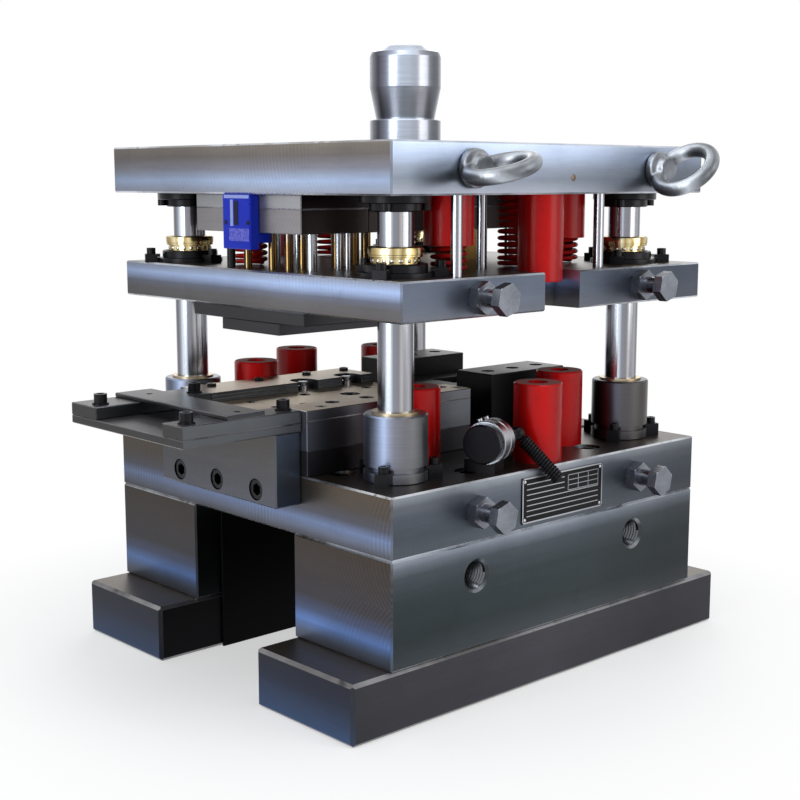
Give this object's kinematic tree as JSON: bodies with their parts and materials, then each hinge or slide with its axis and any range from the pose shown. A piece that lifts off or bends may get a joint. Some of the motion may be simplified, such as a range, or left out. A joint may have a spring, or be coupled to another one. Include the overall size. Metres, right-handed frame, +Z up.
{
  "type": "stamping die",
  "caption": "Progressive stamping die with ball-guided posts, a sprung stripper, red stops and springs, a strip feed table and riser feet.",
  "frame": {"origin": "on the floor under the middle of the whole outline, which the feed table makes longer on one side", "axes": "+Z up along the shank, -X towards the feed table, -Y the front with the name plate"},
  "size_m": [0.59, 0.557, 0.598],
  "materials": {
    "shoe_steel": "ground plate with fine cutter marks",
    "dark_steel": "oiled dark steel",
    "tool_steel": "hardened and ground",
    "bright_steel": "ground and polished",
    "black_oxide": "black oxide, satin",
    "bronze": "turned bronze",
    "brass_cage": "machined brass with steel balls",
    "red_paint": "gloss red",
    "zinc": "zinc plated",
    "blue_plastic": "gloss blue",
    "black_plastic": "satin black",
    "black_plate": "black anodised plate with a bare rim"
  },
  "bodies": {
    "lower_set": {"foot_front": "dark_steel", "foot_rear": "dark_steel", "riser_front": "shoe_steel", "riser_rear": "shoe_steel", "tunnel_liner": "black_oxide", "frame_screws": "black_oxide", "lower_shoe": "shoe_steel", "lower_bushes": "black_oxide", "bush_linings": "bronze", "bush_clamps": "black_oxide", "die_support": "dark_steel", "die_plate": "tool_steel", "stock_guide_front": "tool_steel", "stock_guide_rear": "dark_steel", "form_die": "dark_steel", "side_blocks": "black_oxide", "die_screws": "black_oxide", "lower_stops": "red_paint", "lifter_spring_1": "red_paint", "lifter_spring_2": "red_paint", "feed_bracket": "shoe_steel", "table_plate": "shoe_steel", "table_rail_front": "shoe_steel", "table_rail_rear": "shoe_steel", "table_cover": "dark_steel", "table_screws": "black_oxide", "nameplate": "black_plate", "shoe_lift_bolts": "zinc", "sensor_head": "black_plastic", "sensor_clamp": "bright_steel", "sensor_guard": "black_oxide"},
    "stripper_set": {"stripper_plate": "shoe_steel", "stripper_insert": "dark_steel", "stripper_pads": "dark_steel", "stripper_bushes": "black_oxide", "stripper_clamps": "black_oxide", "stripper_lift_bolts": "zinc", "stripper_springs": "red_paint", "stripper_bolts": "bright_steel"},
    "upper_set": {"upper_shoe": "shoe_steel", "shank": "bright_steel", "guide_posts": "bright_steel", "post_clamps": "black_oxide", "punch_backing": "dark_steel", "punch_plate": "tool_steel", "punches": "bright_steel", "guide_pins": "bright_steel", "upper_stops": "red_paint", "spring_sleeves": "red_paint", "eyebolts": "zinc", "counter_body": "blue_plastic"},
    "lifter_1": {"lifter_1": "bright_steel"},
    "lifter_2": {"lifter_2": "bright_steel"},
    "counter_plunger": {"counter_plunger": "black_oxide"},
    "ball_cage_1": {"ball_cage_1": "brass_cage"},
    "ball_cage_2": {"ball_cage_2": "brass_cage"},
    "ball_cage_3": {"ball_cage_3": "brass_cage"},
    "ball_cage_4": {"ball_cage_4": "brass_cage"}
  },
  "joints": [
    {"name": "press_stroke", "type": "slide", "parent": "lower_set", "child": "stripper_set", "axis": [0, 0, 1], "range_m": [-0.0692, 0]},
    {"name": "spring_compress", "type": "slide", "parent": "stripper_set", "child": "upper_set", "axis": [0, 0, 1], "range_m": [-0.0247, 0], "stiffness_N_per_m": 160000, "springref_m": 0.02, "deforming": ["stripper_springs"]},
    {"name": "ball_cage_1_roll", "type": "slide", "parent": "stripper_set", "child": "ball_cage_1", "axis": [0, 0, 1], "range_m": [-0.0124, 0]},
    {"name": "ball_cage_2_roll", "type": "slide", "parent": "stripper_set", "child": "ball_cage_2", "axis": [0, 0, 1], "range_m": [-0.0124, 0]},
    {"name": "ball_cage_3_roll", "type": "slide", "parent": "stripper_set", "child": "ball_cage_3", "axis": [0, 0, 1], "range_m": [-0.0124, 0]},
    {"name": "ball_cage_4_roll", "type": "slide", "parent": "stripper_set", "child": "ball_cage_4", "axis": [0, 0, 1], "range_m": [-0.0124, 0]},
    {"name": "plunger_slide", "type": "slide", "parent": "upper_set", "child": "counter_plunger", "axis": [0, 0, 1], "range_m": [0, 0.0248]},
    {"name": "lifter_1_slide", "type": "slide", "parent": "lower_set", "child": "lifter_1", "axis": [0, 0, 1], "range_m": [-0.007, 0], "stiffness_N_per_m": 1500, "springref_m": 0.004, "deforming": ["lifter_spring_1"]},
    {"name": "lifter_2_slide", "type": "slide", "parent": "lower_set", "child": "lifter_2", "axis": [0, 0, 1], "range_m": [-0.007, 0], "stiffness_N_per_m": 1500, "springref_m": 0.004, "deforming": ["lifter_spring_2"]}
  ],
  "couplings": [
    {"joint": "ball_cage_1_roll", "follows": "spring_compress", "ratio": 0.5},
    {"joint": "ball_cage_2_roll", "follows": "spring_compress", "ratio": 0.5},
    {"joint": "ball_cage_3_roll", "follows": "spring_compress", "ratio": 0.5},
    {"joint": "ball_cage_4_roll", "follows": "spring_compress", "ratio": 0.5},
    {"joint": "plunger_slide", "follows": "spring_compress", "ratio": -1}
  ]
}
